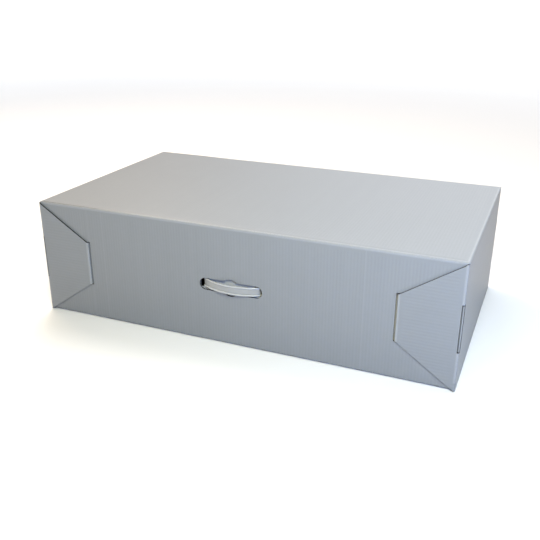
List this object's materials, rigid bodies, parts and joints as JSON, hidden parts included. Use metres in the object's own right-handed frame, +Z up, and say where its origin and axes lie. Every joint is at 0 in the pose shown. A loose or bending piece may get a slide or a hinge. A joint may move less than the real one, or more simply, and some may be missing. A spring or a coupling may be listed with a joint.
{
  "type": "wedding dress storage box",
  "caption": "Shallow two-part storage box for a wedding dress: a corrugated-board tray under a full-depth lid with locked corner flaps and a strap handle.",
  "frame": {"origin": "middle of the closed box's footprint, on the floor", "axes": "+X to the right along the length, +Y to the back, +Z up; the handle is in front, towards -Y"},
  "size_m": [0.8, 0.4663, 0.225],
  "materials": {
    "lid_board": "matte",
    "tray_board": "matte",
    "strap_plastic": "satin"
  },
  "bodies": {
    "tray": {"base_tray": "tray_board"},
    "lid": {"lid": "lid_board"},
    "handle": {"carry_handle": "strap_plastic"}
  },
  "joints": [
    {"name": "lid_lift", "type": "slide", "parent": "tray", "child": "lid", "axis": [0, 0, 1], "range_m": [0, 0.24]},
    {"name": "handle_pull", "type": "slide", "parent": "lid", "child": "handle", "axis": [0, -1, 0], "range_m": [-0.002, 0.012]}
  ]
}
